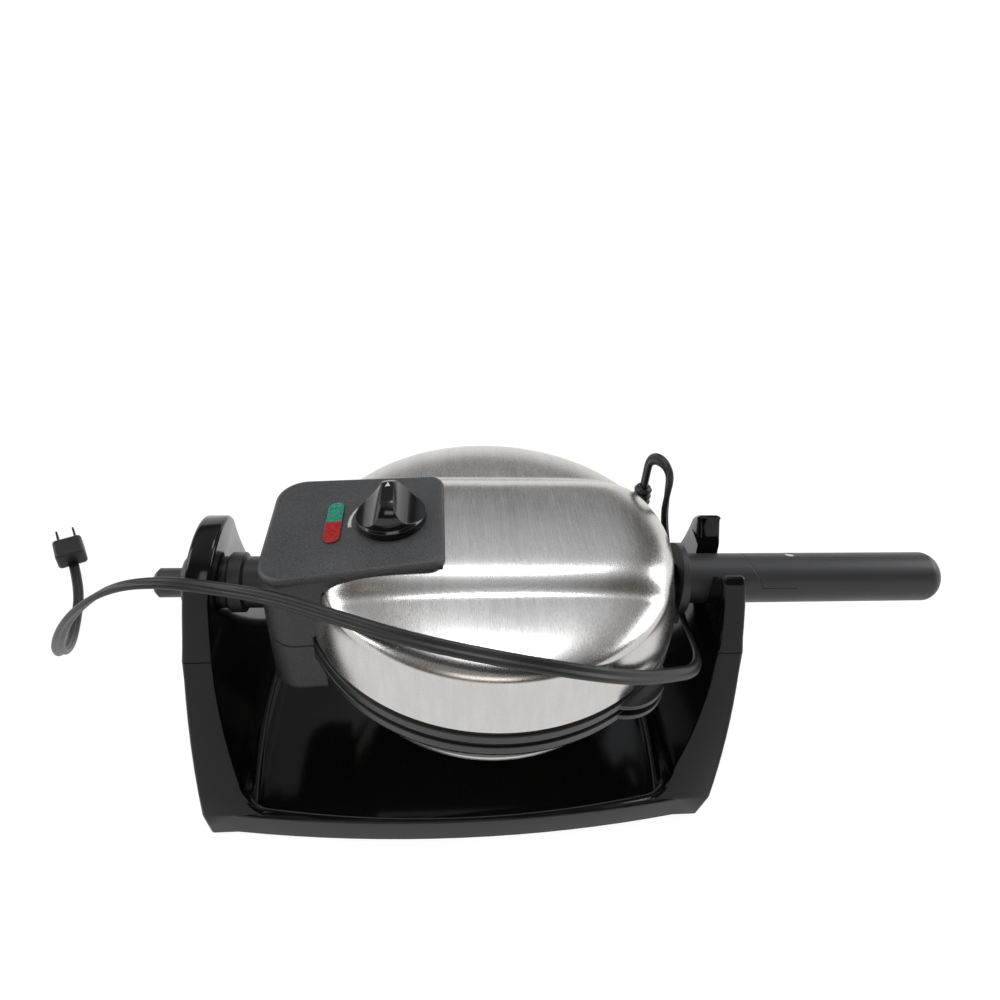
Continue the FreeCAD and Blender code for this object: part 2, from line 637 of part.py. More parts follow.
shaft_r = dim("shaft_radius")
pivot_shaft = spun_x("pivot_shaft", [
    (shaft_end, 10), (shaft_end, shaft_r), (ring_x, shaft_r), (ring_x, dim("shaft_ring") - 1),
    (ring_x + 1, dim("shaft_ring")), (ring_x + 8, dim("shaft_ring")), (ring_x + 9.5, shaft_r), (bracket_x0, shaft_r),
    (bracket_x0, 10)])
cap_r, boss_r = dim("cap_radius"), dim("cap_boss")
boss_x = shaft_end - dim("cap_boss_long")
shaft_end_cap = spun_x("shaft_end_cap", [
    (shaft_end, 0), (shaft_end, cap_r), (shaft_end - dim("cap_thick") + 2, cap_r), (shaft_end - dim("cap_thick"), cap_r - 2),
    (shaft_end - dim("cap_thick"), boss_r), (boss_x + 2, boss_r), (boss_x, boss_r - 2), (boss_x, 0)])

# Handle side: collar on the lower rim, stub with a half-lap tongue, folding grip
tube = dim("tube_radius")
collar_ring = rod("collar_ring", "X", dim("collar_radius"), rim_r - 4, collar_out, 0, axis_z)
collar_foot = box("collar_foot", rim_r - 9, collar_out - 1, -17, 17, axis_z - 22, axis_z - parting - 1.2)
collar_eye = rod("collar_eye", "X", tube, rim_r - 20, collar_out + 1, 0, axis_z)
lid_sweep = rod("lid_sweep", "Z", collar_in, axis_z - parting - 1.2, axis_z + 30)
handle_collar = cut("handle_collar", fuse("collar_body", collar_ring, collar_foot), collar_eye, lid_sweep, lower_clear)

fold_x, fold_y = collar_out + dim("stub_long"), dim("fold_y")
lap_z = axis_z + dim("tongue_up")
root_x = collar_in + 0.5
tip_x = fold_x + dim("grip_long")


def lap_tool(name, radius, z0, z1):
    return rod(name, "Z", radius, z0, z1, fold_x, fold_y)


stub_rod = rod("stub_rod", "X", tube, root_x, fold_x + dim("tongue_end") + 5, 0, axis_z)
far = fold_x + 200
stub_above = fuse("stub_above", lap_tool("seam_disc", dim("fold_seam"), lap_z, axis_z + 60),
                  box("seam_right", fold_x, far, -60, 60, lap_z, axis_z + 60))
tongue_disc = lap_tool("tongue_disc", dim("tongue_end"), axis_z - 60, axis_z + 60)
tongue_right = cut("tongue_right", box("tongue_past", fold_x, far, -60, 60, axis_z - 60, axis_z + 60), tongue_disc)
fold_bore = lap_tool("fold_bore", 3, axis_z - 40, axis_z + 40)
stub_bore = rod("stub_bore", "X", 9, root_x - 1, fold_x - dim("fold_seam") - 8, 0, axis_z)
handle_stub = cut("handle_stub", stub_rod, stub_above, tongue_right, fold_bore, stub_bore)

grip_rod = rod("grip_rod", "X", tube, fold_x - dim("fold_seam") - 2, tip_x, 0, axis_z)
gap = 0.3
seam_out = cut("seam_out", box("seam_left", fold_x - 90, fold_x, -60, 60, axis_z - 60, axis_z + 60),
               lap_tool("seam_inner", dim("fold_seam") - gap, axis_z - 60, axis_z + 60))
lap_low = box("lap_low", fold_x - 90, fold_x, -60, 60, axis_z - 60, lap_z + gap)
lap_disc = lap_tool("lap_disc", dim("tongue_end") + gap, axis_z - 60, lap_z + gap)
grip_bore = rod("grip_bore", "X", tube - dim("grip_wall"), fold_x + dim("tongue_end") + 12, tip_x + 1, 0, axis_z)
handle_grip = cut("handle_grip", grip_rod, seam_out, lap_low, lap_disc, lap_tool("grip_eye", 3.05, axis_z - 40, axis_z + 40),
                  grip_bore)
fold_pin = common("fold_pin", lap_tool("fold_pin_rod", 3, axis_z - 40, axis_z + 40),
                  rod("fold_pin_trim", "X", tube - 0.4, fold_x - 10, fold_x + 10, 0, axis_z))
cap_plug = rod("cap_plug", "X", tube - dim("grip_wall"), tip_x - 8, tip_x, 0, axis_z)
cap_dome = doc.addObject("Part::Ellipsoid", "cap_dome")
bind(cap_dome, "Radius1", Size(11, "11"))
bind(cap_dome, "Radius2", tube)
bind(cap_dome, "Radius3", tube)
cap_dome.Angle1, cap_dome.Angle2 = 0, 90
place(cap_dome, tip_x, 0, axis_z, rotation=Rotation(Vector(0, 1, 0), 90))
handle_end_cap = fuse("handle_end_cap", cap_plug, cap_dome)

# Knob on the sloping panel, with a thermostat below whose stem it turns
knob_r = dim("knob_radius")
knob_tall = dim("knob_tall")
dome = turned("knob_dome", [(0, 0.4), (knob_r, 0.4), (knob_r, 4.4), (knob_r - 1.2, 5.6), (9, knob_tall),
                           (0, knob_tall)], {3: (knob_r * 0.8, knob_tall - 4.5)})
scoop_r = knob_tall * 0.86
scoop_x = scoop_r + 3.3
scoops = [rod("knob_scoop_" + side, "Y", scoop_r, -30, 30, x, knob_tall + 2)
          for side, x in (("left", -scoop_x), ("right", scoop_x))]
stem_seat = rod("stem_seat", "Z", 3.05, -1, 9.1)
control_knob = cut("control_knob", dome, stem_seat, *scoops)
tilted(control_knob, knob_x)
stat_case = box("stat_case", -15, 15, -13, 13, -2.7 - 10, -2.7)
stat_case.Placement.Base = Vector(-15, -13, -12.7)
stat_stem = rod("stat_stem", "Z", 3, -6, 9)
thermostat = tilted(fuse("thermostat", stat_case, stat_stem), knob_x)

# Strain relief with ribs, screws, cord and plug
relief_r = rim_r + dim("relief_out")
relief_turn = math.radians(sheet.get("relief_angle"))
relief_x, relief_y = relief_r * math.cos(relief_turn), relief_r * math.sin(relief_turn)
relief_low = axis_z - parting - half_gap
relief_high = axis_z + dim("relief_top")
ribs = [rod("relief_rib%d" % n, "Z", dim("relief_radius") + 1.6 - 0.12 * n, relief_low + 6 + 4.6 * n,
            relief_low + 8.6 + 4.6 * n, relief_x, relief_y) for n in range(6)]
strain_relief = fuse("strain_relief", rod("relief_core", "Z", dim("relief_radius"), relief_low, relief_high, relief_x,
                                          relief_y), *ribs)

# Way of the cord from the top of the relief: loop, under the stub, over the lid, down to the table
CORD = [
    (0, 0, 0), (0, 0, 13), (0, -0.5, 26.1), (2.5, -6, 32), (6.3, -13.5, 32), (8.9, -18.6, 26.1),
    (9.1, -19.2, 11), (10, -19.8, -6), (13.4, -21.8, -23), (17, -30.2, -39), (18.6, -46.2, -49.5),
    (18.8, -67.2, -54), (18.6, -87.2, -52), (15.6, -106.2, -46), (6.4, -122.8, -38), (-11.6, -134.8, -26),
    (-33, -146.9, -13), (-59, -157.4, 3), (-97, -158.4, 14), (-130.6, -151.4, 16.5), (-157.6, -140.8, 15),
    (-188.6, -123.2, 10.5), (-219.6, -108.2, 8.5), (-252.6, -95.8, 3.5), (-280.6, -91.2, 4),
    (-309.6, -86.2, -5), (-340.6, -76.2, -35), (-366.6, -59.2, -77), (-386.6, -31.2, -119),
    (-400.6, 0.8, -145), (-410.6, 33.8, -151.4), (-420.6, 66.8, -151.4), (-436.6, 96.8, -151.4),
]
start = Vector(relief_x.value, relief_y.value, sheet.get("axis_height") + sheet.get("relief_top"))
points = [start + Vector(*p) for p in CORD]
thick = sheet.get("cord_radius")
points = [Vector(p.x, p.y, max(p.z, thick)) for p in points]
edges = []
last = points[0]
bends = []
for before, here, after in zip(points, points[1:], points[2:]):
    into = (here - before).normalize()
    away = (after - here).normalize()
    turn = into.getAngle(away)
    shorter = min((here - before).Length, (after - here).Length)
    radius = 0.45 * shorter / math.tan(turn / 2)
    bends.append(radius)
    step = 0.45 * shorter
    first, second = here - into * step, here + away * step
    middle = here + (away - into).normalize() * (radius / math.cos(turn / 2) - radius)
    edges.append(Part.makeLine(last, first))
    edges.append(Part.Arc(first, middle, second).toShape())
    last = second
edges.append(Part.makeLine(last, points[-1]))
path = Part.Wire(edges)
section = Part.Wire(Part.makeCircle(thick, points[0], points[1] - points[0]))
tube_shape = path.makePipeShell([section], True, False)
print("cord bend radii", " ".join("%.0f" % bend for bend in bends))
print("cord length %.0f, volume over section by length %.4f" % (
    path.Length, tube_shape.Volume / (math.pi * thick ** 2 * path.Length)))
power_cord = doc.addObject("Part::Feature", "power_cord")
power_cord.Shape = tube_shape
plug_end = points[-1]
plug_way = points[-1] - points[-2]
plug_turn = Rotation(Vector(1, 0, 0), plug_way)
plug_body = doc.addObject("Part::Box", "plug_body")
plug_body.Length, plug_body.Width, plug_body.Height = 24, 22, 15
plug_body.Placement = Placement(plug_end + plug_turn.multVec(Vector(0, -11, -plug_end.z)), plug_turn)
doc.recompute()
plug_round = doc.addObject("Part::Fillet", "plug_round")
plug_round.Base = plug_body
plug_round.Edges = [(n, 3, 3) for n, e in enumerate(plug_body.Shape.Edges, 1)]
blades = []
for name, y in (("plug_blade_a", -6.35), ("plug_blade_b", 6.35)):
    blade = doc.addObject("Part::Box", name)
    blade.Length, blade.Width, blade.Height = 18, 1.5, 6.3
    blade.Placement = Placement(plug_end + plug_turn.multVec(Vector(23, y - 0.75, 4.35 - plug_end.z)), plug_turn)
    blades.append(blade)
power_plug = fuse("power_plug", plug_round, *blades)

NODES = [
    base_shell, base_bottom_plate, rubber_feet, base_screws, power_cord, power_plug, lower_steel_shell, lower_rim,
    lower_grid, lower_heater, lower_reflector, lower_hinge_housing, hinge_bracket, hinge_pin, pivot_shaft,
    shaft_end_cap, handle_collar, handle_stub, fold_pin, strain_relief, lid_steel_shell, lid_rim, upper_grid,
    upper_heater, upper_reflector, control_housing, ready_light_lens, power_light_lens, indicator_lamps, thermostat,
    thermal_fuse, control_knob, handle_grip, handle_end_cap,
]
doc.recompute()
broken = [item.Name for item in doc.Objects if "Invalid" in item.State or "Error" in item.State]
if broken:
    raise ValueError("did not build: " + ", ".join(broken))
# The stored frame is centred over the object's length, from the shaft cap to the tip of the handle
centre_shift = -(boss_x.value + tip_x.value + cap_dome.Radius1.Value) / 2
print("grill centre at x %.3f" % centre_shift)
for node in NODES:
    label = node.Name.replace("_half", "") if node.Name.endswith("_lens_half") else node.Name
    node.Label = label
    shape = node.Shape
    if shape.isNull() or not shape.isValid() or shape.Volume <= 0:
        raise ValueError("%s is not a valid solid" % label)
    print("%-22s solids %d volume %.1f cm3" % (label, len(shape.Solids), shape.Volume / 1000))
    shape = shape.copy()
    shape.translate(Vector(centre_shift, 0, 0))
    shape.exportStep("parts/%s.step" % label)
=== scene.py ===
import json
import math

import bmesh
import bpy
from mathutils import Matrix, Vector


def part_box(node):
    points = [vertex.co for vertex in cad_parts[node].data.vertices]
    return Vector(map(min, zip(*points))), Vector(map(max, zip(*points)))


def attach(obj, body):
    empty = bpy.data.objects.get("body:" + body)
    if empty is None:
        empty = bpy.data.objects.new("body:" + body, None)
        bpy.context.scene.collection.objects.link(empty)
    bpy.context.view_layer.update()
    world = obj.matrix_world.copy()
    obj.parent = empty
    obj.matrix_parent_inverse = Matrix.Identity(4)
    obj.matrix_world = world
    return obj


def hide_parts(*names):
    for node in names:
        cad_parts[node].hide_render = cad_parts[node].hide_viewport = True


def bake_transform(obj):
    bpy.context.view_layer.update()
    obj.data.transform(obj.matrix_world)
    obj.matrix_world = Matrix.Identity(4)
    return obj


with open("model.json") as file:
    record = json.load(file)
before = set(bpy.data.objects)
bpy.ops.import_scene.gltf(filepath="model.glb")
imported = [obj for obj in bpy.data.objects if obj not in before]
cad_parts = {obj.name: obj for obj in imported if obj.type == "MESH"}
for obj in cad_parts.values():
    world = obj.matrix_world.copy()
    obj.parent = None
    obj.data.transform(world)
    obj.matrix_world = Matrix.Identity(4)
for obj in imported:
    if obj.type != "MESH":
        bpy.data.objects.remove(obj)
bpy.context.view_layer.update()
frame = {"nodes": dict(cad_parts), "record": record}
nodes = frame["nodes"]

# The grill's centre on its axle, in metres
grid_low, grid_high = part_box("upper_grid")
grip_low, grip_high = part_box("handle_grip")
CENTRE = Vector(((grid_low.x + grid_high.x) / 2, 0.0, (grip_low.z + grip_high.z) / 2))
# The control panel: its slope, and its height at the dial, in millimetres from that centre
SLOPE = math.radians(5.5)
DIAL_X = -58.3
PANEL_UP = 46.9


def at(x, y, z):
    """A point given in millimetres from the grill's centre."""
    return CENTRE + Vector((x, y, z)) / 1000


def panel_at(x, y, up=0.0):
    """A point on the sloping control panel, up millimetres above its face."""
    base = at(x, y, PANEL_UP + (x - DIAL_X) * math.tan(SLOPE))
    return base + Vector((-math.sin(SLOPE), 0, math.cos(SLOPE))) * up / 1000


# Shader maths


class Value:
    """A socket or number in a material, with arithmetic that adds Math nodes."""

    def __init__(self, paint, socket):
        self.paint = paint
        self.socket = socket

    def maths(self, operation, *others, swap=False):
        terms = [self, *others]
        if swap:
            terms.reverse()
        return self.paint.add("Math", {i: t for i, t in enumerate(terms)}, operation=operation)

    def __add__(self, other):
        return self.maths("ADD", other)

    def __sub__(self, other):
        return self.maths("SUBTRACT", other)

    def __mul__(self, other):
        return self.maths("MULTIPLY", other)

    def __rsub__(self, other):
        return self.maths("SUBTRACT", other, swap=True)

    __radd__ = __add__

    def step(self, low, high):
        """0 below low, 1 above high, smooth between."""
        return self.paint.add("MapRange", {"Value": self, "From Min": low, "From Max": high},
                              interpolation_type="SMOOTHSTEP", out="Result")


class Paint:
    """A material whose nodes are added with one method."""

    def __init__(self, name, tree=None):
        if tree is None:
            self.material = bpy.data.materials.new(name)
            self.material.use_nodes = True
            tree = self.material.node_tree
        self.tree = tree
        self.shader = tree.nodes.get("Principled BSDF")
        self.place = None

    def add(self, kind, inputs=None, out=0, **settings):
        node = self.tree.nodes.new("ShaderNode" + kind)
        for name, value in settings.items():
            setattr(node, name, value)
        for name, value in (inputs or {}).items():
            self.feed(node.inputs[name], value)
        return Value(self, node.outputs[out])

    def feed(self, socket, value):
        if isinstance(value, Value):
            self.tree.links.new(value.socket, socket)
        elif isinstance(value, tuple) and len(value) == 3 and socket.type == "RGBA":
            socket.default_value = (*value, 1.0)
        else:
            socket.default_value = value

    def set(self, **inputs):
        for name, value in inputs.items():
            self.feed(self.shader.inputs[name.replace("_", " ")], value)

    def coords(self, scale=(1, 1, 1)):
        """Object coordinates in metres, stretched by scale."""
        if self.place is None:
            self.place = self.add("TexCoord", out="Object")
        return self.add("Mapping", {"Vector": self.place, "Scale": scale})

    def noise(self, scale, detail=3.0, rough=0.55, stretch=(1, 1, 1)):
        return self.add("TexNoise", {"Vector": self.coords(stretch), "Scale": scale, "Detail": detail,
                                     "Roughness": rough})

    def mix(self, factor, low, high):
        return self.add("Mix", {0: factor, 6: low, 7: high}, out=2, data_type="RGBA")

    def bump(self, amount, strength, reach=0.0002, soft=0.0):
        """Surface relief, with corners rounded by soft metres."""
        inputs = {"Height": amount, "Strength": strength, "Distance": reach}
        if soft:
            inputs["Normal"] = self.add("Bevel", {"Radius": soft}, samples=6)
        self.set(Normal=self.add("Bump", inputs))


def plastic(name, colour, rough, spread, grain, depth, soft=0.0008, gloss=0.5):
    """Moulded plastic: fine grain, smudges that vary its gloss, a little dust."""
    p = Paint(name)
    fine = p.noise(grain, 4.0)
    smudge = p.noise(28.0, 5.0, 0.6)
    dust = p.noise(140.0, 4.0, 0.7).step(0.60, 0.78) * smudge.step(0.45, 0.65)
    pale = tuple(min(1.0, c * 1.5 + 0.012) for c in colour)
    p.set(Base_Color=p.mix(dust * 0.6, colour, pale), Specular_IOR_Level=gloss,
          Roughness=(smudge - 0.5) * spread + fine * spread * 0.4 + rough + dust * 0.1)
    p.bump(fine, depth, soft=soft)
    return p.material


def grained(name, dark, pale):
    """Panel plastic with a leathery grain, paler on its raised grains and in broad patches of painted sheen,
    which also vary its roughness.
    """
    p = Paint(name)
    grain = p.noise(1500.0, 3.0, 0.6)
    sheen_patches = p.noise(16.0, 4.0, 0.6)
    dust = p.noise(800.0, 2.0).step(0.70, 0.74) * p.noise(24.0, 3.0).step(0.5, 0.6)
    # The broad noise paints sheen into the colour as paler patches, and it also varies the roughness.
    tone = p.mix(grain.step(0.35, 0.68) * 0.75 + (sheen_patches - 0.5) * 0.9, dark, pale)
    p.set(Base_Color=p.mix(dust * 0.7, tone, (0.30, 0.29, 0.28)), Roughness=0.36 + sheen_patches * 0.22 + dust * 0.2)
    p.bump(grain, 0.5, 0.00025, soft=0.0012)
    return p.material


def steel(name):
    """Stainless steel brushed from front to back, with smudges, fine scratches and flour specks."""
    p = Paint(name)
    streak = p.noise(1.0, 6.0, 0.7, (2600, 30, 2600))
    band = p.noise(1.0, 3.0, 0.5, (260, 5, 60))
    smudge = p.noise(22.0, 5.0, 0.6)
    specks = p.noise(900.0, 2.0, 0.5).step(0.735, 0.76) * p.noise(30.0, 3.0).step(0.50, 0.62)
    tone = (streak - 0.5) * 0.22 + (band - 0.5) * 0.12
    grey = p.add("CombineColor", {0: tone + 0.56, 1: tone + 0.545, 2: tone + 0.525})
    p.set(Base_Color=p.mix(specks, grey, (0.82, 0.80, 0.75)), Metallic=1.0 - specks,
          Roughness=0.27 + (streak - 0.5) * 0.22 + (smudge - 0.5) * 0.16 + specks * 0.4)
    p.bump(streak, 0.10, 0.00005)
    return p.material


def metal(name, colour, rough, stretch=(400, 400, 400), depth=0.05):
    p = Paint(name)
    grain = p.noise(1.0, 4.0, 0.6, stretch)
    stain = p.noise(45.0, 4.0)
    dark = tuple(c * 0.72 for c in colour)
    p.set(Base_Color=p.mix(stain, dark, colour), Metallic=1.0, Roughness=rough + (grain - 0.5) * 0.2)
    p.bump(grain, depth, 0.00005)
    return p.material


def lens(name, colour, deep):
    """Clear moulded lens with a prismatic back that breaks its colour into cells."""
    p = Paint(name)
    cell = p.add("TexVoronoi", {"Vector": p.coords(), "Scale": 750.0}, out="Distance")
    cloud = p.noise(110.0, 3.0)
    p.set(Base_Color=p.mix(cell * 0.9 + (cloud - 0.5) * 0.8, deep, colour), Roughness=0.16 + cloud * 0.1)
    p.bump(cell, 0.05, soft=0.0006)
    return p.material


def ink(name, colour):
    """Printed mark, slightly worn."""
    p = Paint(name)
    worn = p.noise(700.0, 3.0).step(0.35, 0.5)
    p.set(Base_Color=p.mix(worn, tuple(c * 0.6 for c in colour), colour), Roughness=0.5)
    return p.material


LOOKS = {
    "base_black": plastic("base_black", (0.007, 0.0068, 0.0067), 0.10, 0.06, 2500, 0.01, 0.0006, 0.25),
    "base_under": plastic("base_under", (0.02, 0.02, 0.02), 0.5, 0.15, 1800, 0.15),
    "foot_rubber": plastic("foot_rubber", (0.03, 0.03, 0.03), 0.75, 0.12, 1500, 0.2),
    "screw_steel": metal("screw_steel", (0.6, 0.6, 0.58), 0.35),
    "cord_rubber": plastic("cord_rubber", (0.008, 0.008, 0.0085), 0.40, 0.16, 1600, 0.12),
    "shell_steel": steel("shell_steel"),
    "rim_black": plastic("rim_black", (0.019, 0.019, 0.020), 0.32, 0.14, 2200, 0.05),
    "grid_coat": metal("grid_coat", (0.09, 0.09, 0.095), 0.42, depth=0.1),
    "heater_steel": metal("heater_steel", (0.34, 0.30, 0.26), 0.4),
    "reflector_metal": metal("reflector_metal", (0.8, 0.8, 0.8), 0.25),
    # The panel's pale colour serves both its grain and its painted sheen.
    "panel_grey": grained("panel_grey", (0.026, 0.0265, 0.028), (0.088, 0.089, 0.091)),
    "pin_steel": metal("pin_steel", (0.62, 0.62, 0.63), 0.3),
    "handle_black": plastic("handle_black", (0.032, 0.033, 0.035), 0.40, 0.18, 2400, 0.10),
    "lens_green": lens("lens_green", (0.06, 0.38, 0.27), (0.010, 0.13, 0.09)),
    "lens_red": lens("lens_red", (0.62, 0.030, 0.026), (0.20, 0.006, 0.007)),
    "lamp_glass": lens("lamp_glass", (0.8, 0.7, 0.6), (0.6, 0.5, 0.4)),
    "thermostat_case": plastic("thermostat_case", (0.12, 0.07, 0.04), 0.5, 0.15, 1800, 0.12),
    "knob_black": plastic("knob_black", (0.006, 0.006, 0.007), 0.14, 0.08, 2600, 0.02),
}
PRINT = ink("print_white", (0.62, 0.62, 0.60))
for entry in frame["record"]["subparts"]:
    mesh = nodes[entry["node"]].data
    mesh.materials.clear()
    mesh.materials.append(LOOKS[entry["material_slot"]])


def piece(name, mesh_builder, body, material):
    """New mesh piece at the origin, riding on a CAD body."""
    mesh = bpy.data.meshes.new(name)
    shape = bmesh.new()
    mesh_builder(shape)
    bmesh.ops.recalc_face_normals(shape, faces=shape.faces)
    shape.to_mesh(mesh)
    shape.free()
    mesh.materials.append(material)
    thing = bpy.data.objects.new(name, mesh)
    bpy.context.scene.collection.objects.link(thing)
    if body:
        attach(thing, body)
    return thing


# Base with its moulded edges rounded
BASE_ROUND = 0.0024
BASE_UNDERSIDE = 0.003
BORE_REACH = 0.024
SEAM_DOWN = 0.016
SEAM_CLEAR = 0.0008
SHARP = math.radians(38)


def outer_edge(edge):
    """True for a sharp outer corner of the base, away from its underside, bores and post seams."""
    if not edge.is_manifold or not edge.is_convex or edge.calc_face_angle() < SHARP:
        return False
    middle = (edge.verts[0].co + edge.verts[1].co) / 2
    from_axle = math.hypot(middle.y, middle.z - CENTRE.z)
    at_seam = abs(middle.z - CENTRE.z + SEAM_DOWN) < SEAM_CLEAR
    return middle.z > BASE_UNDERSIDE and from_axle > BORE_REACH and not at_seam


def build_base(shape):
    shape.from_mesh(nodes["base_shell"].data)
    bmesh.ops.remove_doubles(shape, verts=shape.verts, dist=0.00002)
    bmesh.ops.dissolve_limit(shape, angle_limit=math.radians(0.6), verts=shape.verts, edges=shape.edges)
    corners = [edge for edge in shape.edges if outer_edge(edge)]
    bmesh.ops.bevel(shape, geom=corners, offset=BASE_ROUND, offset_type="OFFSET", segments=4, profile=0.5,
                    affect="EDGES", clamp_overlap=False, material=-1)
    for face in shape.faces:
        face.smooth = True
    for edge in shape.edges:
        edge.smooth = edge.is_manifold and edge.calc_face_angle() < math.radians(32)


base = piece("base_rounded", build_base, "base", LOOKS["base_black"])
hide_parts("base_shell")

# Steel cover of the lid: turned, with a broad band that runs softly into the lower sides
cover_low, cover_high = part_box("lid_steel_shell")
COVER_RADIUS = (cover_high.y - cover_low.y) * 500
COVER_TOP = (cover_high.z - CENTRE.z) * 1000
COVER_EDGE = (cover_low.z - CENTRE.z) * 1000
WALL_RADIUS = COVER_RADIUS - 5
WALL_UP = 26
WALL_BULGE = 1
SHELF_UP = COVER_TOP - 7.5
BAND_FLAT = 24
BAND_FOOT = 53
BAND_CROWN = 2
BAND_FALL = 2.6
STEEL = 0.0008
# Where each shoulder leaves its crown, and how square it is
SHELF_START, SHELF_POWER = 40, 2.8
BAND_START, BAND_POWER = 66, 2.6
# The opening under the control housing, wider to the left
OPENING_X = -30.2
OPENING_FROM = -29
OPENING_HALF = 38.8
OPENING_FLARE = 0.061
OPENING_UP = 32


def shoulder(r, crown, start, power):
    """Height of a round shoulder that leaves the crown at start and meets the wall."""
    share = min(1.0, max(0.0, (r - start) / (WALL_RADIUS - start)))
    return WALL_UP + (crown - WALL_UP) * (1 - share ** power) ** (1 / power)


def cover_height(x, y):
    r = math.hypot(x, y)
    low = shoulder(r, SHELF_UP, SHELF_START, SHELF_POWER)
    high = shoulder(r, COVER_TOP, BAND_START, BAND_POWER) - BAND_CROWN * (y / BAND_FOOT) ** 2
    share = min(1.0, max(0.0, (abs(y) - BAND_FLAT) / (BAND_FOOT - BAND_FLAT))) ** BAND_FALL
    return high + (low - high) * share * share * (3 - 2 * share)


def build_cover(shape):
    """Spun profile, raised to the band and shelf, opened under the housing and thickened inwards."""
    rings, rows = 56, 8
    spots = [(WALL_RADIUS * math.sin(math.pi / 2 * k / rings) ** 0.8, None) for k in range(rings + 1)]
    for k in range(1, rows + 1):
        share = k / rows
        bulge = WALL_BULGE * math.sin(math.pi * share)
        radius = WALL_RADIUS + (COVER_RADIUS - WALL_RADIUS) * share + bulge
        spots.append((radius, WALL_UP + (COVER_EDGE - WALL_UP) * share))
    verts = [shape.verts.new(at(r, 0, WALL_UP if z is None else z)) for r, z in spots]
    edges = [shape.edges.new(pair) for pair in zip(verts, verts[1:])]
    bmesh.ops.spin(shape, geom=verts + edges, cent=CENTRE, axis=(0, 0, 1), angle=math.tau, steps=240,
                   use_merge=True)
    bmesh.ops.remove_doubles(shape, verts=shape.verts, dist=0.000001)
    for vert in shape.verts:
        x, y = (vert.co.x - CENTRE.x) * 1000, (vert.co.y - CENTRE.y) * 1000
        if math.hypot(x, y) < WALL_RADIUS - 0.001:
            vert.co.z = CENTRE.z + cover_height(x, y) / 1000
    cuts = [
        (at(OPENING_X, 0, 0), (1, 0, 0)),
        (at(OPENING_FROM, OPENING_HALF, 0), (OPENING_FLARE, 1, 0)),
        (at(OPENING_FROM, -OPENING_HALF, 0), (OPENING_FLARE, -1, 0)),
        (at(0, 0, OPENING_UP), (0, 0, 1)),
    ]
    for spot, way in cuts:
        bmesh.ops.bisect_plane(shape, geom=shape.verts[:] + shape.edges[:] + shape.faces[:], dist=0.000001,
                               plane_co=spot, plane_no=way)
    under = []
    for face in shape.faces:
        spot = (face.calc_center_median() - CENTRE) * 1000
        half = OPENING_HALF - OPENING_FLARE * (spot.x - OPENING_FROM)
        if spot.x < OPENING_X and abs(spot.y) < half and spot.z > OPENING_UP:
            under.append(face)
    bmesh.ops.delete(shape, geom=under, context="FACES")
    bmesh.ops.recalc_face_normals(shape, faces=shape.faces)
    bmesh.ops.solidify(shape, geom=shape.faces[:], thickness=STEEL)
    for face in shape.faces:
        face.smooth = True
    for edge in shape.edges:
        edge.smooth = edge.is_manifold and edge.calc_face_angle() < math.radians(40)


cover = piece("lid_steel_cover", build_cover, "lid", LOOKS["shell_steel"])
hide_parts("lid_steel_shell")

# Flat two-core cord along the CAD cord's way
WAY = [
    (102.62, 59.25, 27), (102.62, 59.25, 37), (102.62, 58.8, 48), (105.1, 53.2, 53.4), (108.9, 45.8, 53.4),
    (111.5, 40.6, 48), (111.7, 40, 36), (112.6, 39.5, 21), (116, 37.5, 4), (119.6, 29, -12),
    (121.2, 13, -22.5), (121.4, -8, -27), (121.2, -28, -25), (118.2, -47, -19), (109, -63.5, -11),
    (91, -75.5, 1), (69.6, -87.7, 14), (43.6, -98.2, 30), (5.6, -99.2, 41), (-28, -92.2, 43.5),
    (-55, -81.5, 42), (-86, -64, 37.5), (-117, -49, 35.5), (-150, -36.5, 30.5), (-178, -32, 31),
    (-207, -27, 22), (-238, -17, -8), (-264, 0, -50), (-284, 28, -92), (-298, 60, -118),
    (-308, 93, -124.4), (-318, 126, -124.4), (-334, 156, -124.4),
]
line = bpy.data.curves.new("cord_line", "CURVE")
line.dimensions = "3D"
line.resolution_u = 10
spline = line.splines.new("NURBS")
spline.points.add(len(WAY) - 1)
for dot, spot in zip(spline.points, WAY):
    dot.co = (*at(*spot), 1)
spline.order_u = 3
spline.use_endpoint_u = True
guide = bpy.data.objects.new("cord_line", line)
bpy.context.scene.collection.objects.link(guide)
bpy.context.view_layer.update()
track = bpy.data.meshes.new_from_object(guide.evaluated_get(bpy.context.evaluated_depsgraph_get()))
path = [v.co.copy() for v in track.vertices]
bpy.data.objects.remove(guide)
bpy.data.meshes.remove(track)

CORE = 0.0019
SPREAD = 0.0019
OVER_LID = 70


def cord_section():
    """Outline of two joined round cores, as across and up distances."""
    spots = []
    for side in (1, -1):
        for k in range(9):
            turn = math.radians(-145 + 290 * k / 8)
            spots.append((side * (SPREAD + CORE * math.cos(turn)), side * CORE * math.sin(turn)))
    return spots


def carried_frames():
    """Direction, across and up at each point of the path, carried along without spin."""
    across = Vector((0, 1, 0))
    frames = []
    for i in range(len(path)):
        way = (path[min(i + 1, len(path) - 1)] - path[max(i - 1, 0)]).normalized()
        across = (across - way * across.dot(way)).normalized()
        frames.append((way, across, way.cross(across)))
    return frames


